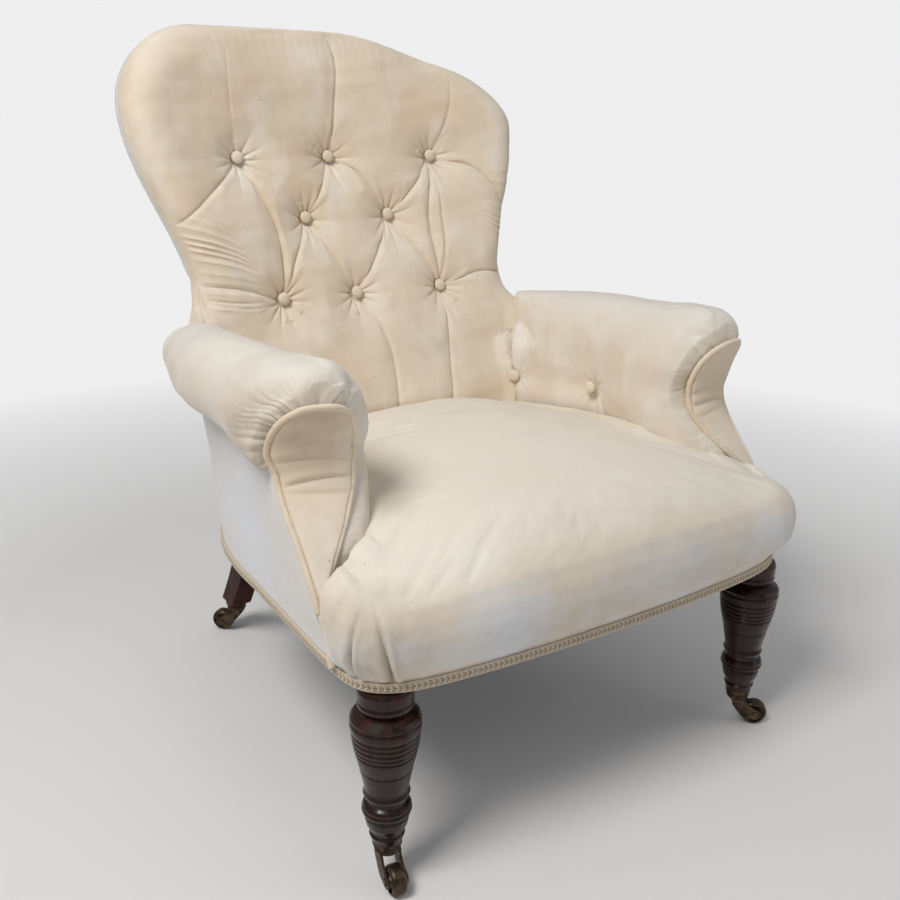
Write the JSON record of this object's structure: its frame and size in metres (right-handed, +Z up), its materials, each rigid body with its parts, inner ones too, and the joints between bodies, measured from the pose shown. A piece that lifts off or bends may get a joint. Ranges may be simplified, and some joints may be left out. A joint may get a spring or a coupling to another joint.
{
  "type": "armchair",
  "caption": "Low upholstered armchair with a deep-buttoned waisted back, scroll arms, a sprung bow-fronted seat, turned front legs, raked back legs and swivel castors.",
  "frame": {"origin": "on the floor, in the middle of the width and of the overall depth", "axes": "+Z up, -Y the way the chair faces, +X to the right as seen from in front"},
  "size_m": [0.671, 0.7302, 0.868],
  "materials": {
    "velvet": "cut pile velvet, worn",
    "velvet_piping": "velvet over cord",
    "mahogany": "dark stain, french polish",
    "beech": "sawn",
    "castor_bronze": "aged dark bronze",
    "spring_steel": "coppered wire",
    "jute": "coarse weave",
    "dust_cloth": "matt calico",
    "braid": "two-tone woven gimp"
  },
  "bodies": {
    "chair": {"front_leg_left": "mahogany", "front_leg_right": "mahogany", "back_leg_left": "mahogany", "back_leg_right": "mahogany", "front_rail": "beech", "back_rail": "beech", "side_rail_left": "beech", "side_rail_right": "beech", "corner_blocks": "beech", "arm_stump_left": "beech", "arm_stump_right": "beech", "arm_rail_left": "beech", "arm_rail_right": "beech", "crest_rail": "beech", "tuck_rail": "beech", "back_webbing": "jute", "seat_webbing": "jute", "seat_springs": "spring_steel", "spring_hessian": "jute", "dust_cover": "dust_cloth", "seat_cushion": "velvet", "back_pad": "velvet", "arm_pad_left": "velvet", "arm_pad_right": "velvet", "arm_facing_left": "velvet", "arm_facing_right": "velvet", "arm_piping_left": "velvet_piping", "arm_piping_right": "velvet_piping", "outside_arm_left": "velvet", "outside_arm_right": "velvet", "outside_back": "velvet", "seat_braid": "braid", "back_buttons": "velvet", "arm_buttons_left": "velvet", "arm_buttons_right": "velvet", "castor_plate_fl": "castor_bronze", "castor_plate_fr": "castor_bronze", "castor_plate_bl": "castor_bronze", "castor_plate_br": "castor_bronze"},
    "castor_fl": {"castor_horn_fl": "castor_bronze", "castor_axle_fl": "castor_bronze"},
    "wheel_fl": {"castor_wheel_fl": "castor_bronze"},
    "castor_fr": {"castor_horn_fr": "castor_bronze", "castor_axle_fr": "castor_bronze"},
    "wheel_fr": {"castor_wheel_fr": "castor_bronze"},
    "castor_bl": {"castor_horn_bl": "castor_bronze", "castor_axle_bl": "castor_bronze"},
    "wheel_bl": {"castor_wheel_bl": "castor_bronze"},
    "castor_br": {"castor_horn_br": "castor_bronze", "castor_axle_br": "castor_bronze"},
    "wheel_br": {"castor_wheel_br": "castor_bronze"}
  },
  "joints": [
    {"name": "swivel_fl", "type": "hinge", "parent": "chair", "child": "castor_fl", "pos_m": [-0.265, -0.3041, 0.0255], "axis": [0, 0, 1], "continuous": true},
    {"name": "roll_fl", "type": "hinge", "parent": "castor_fl", "child": "wheel_fl", "pos_m": [-0.2686, -0.32682, 0.016], "axis": [0.9877, -0.1564, 0], "continuous": true},
    {"name": "swivel_fr", "type": "hinge", "parent": "chair", "child": "castor_fr", "pos_m": [0.265, -0.3041, 0.0255], "axis": [0, 0, 1], "continuous": true},
    {"name": "roll_fr", "type": "hinge", "parent": "castor_fr", "child": "wheel_fr", "pos_m": [0.28287, -0.31857, 0.016], "axis": [0.6293, 0.7771, 0], "continuous": true},
    {"name": "swivel_bl", "type": "hinge", "parent": "chair", "child": "castor_bl", "pos_m": [-0.191, 0.28092, 0.0255], "axis": [0, 0, 1], "continuous": true},
    {"name": "roll_bl", "type": "hinge", "parent": "castor_bl", "child": "wheel_bl", "pos_m": [-0.20669, 0.29774, 0.016], "axis": [-0.7314, -0.682, 0], "continuous": true},
    {"name": "swivel_br", "type": "hinge", "parent": "chair", "child": "castor_br", "pos_m": [0.191, 0.28092, 0.0255], "axis": [0, 0, 1], "continuous": true},
    {"name": "roll_br", "type": "hinge", "parent": "castor_br", "child": "wheel_br", "pos_m": [0.20072, 0.30177, 0.016], "axis": [-0.9063, 0.4226, 0], "continuous": true}
  ]
}
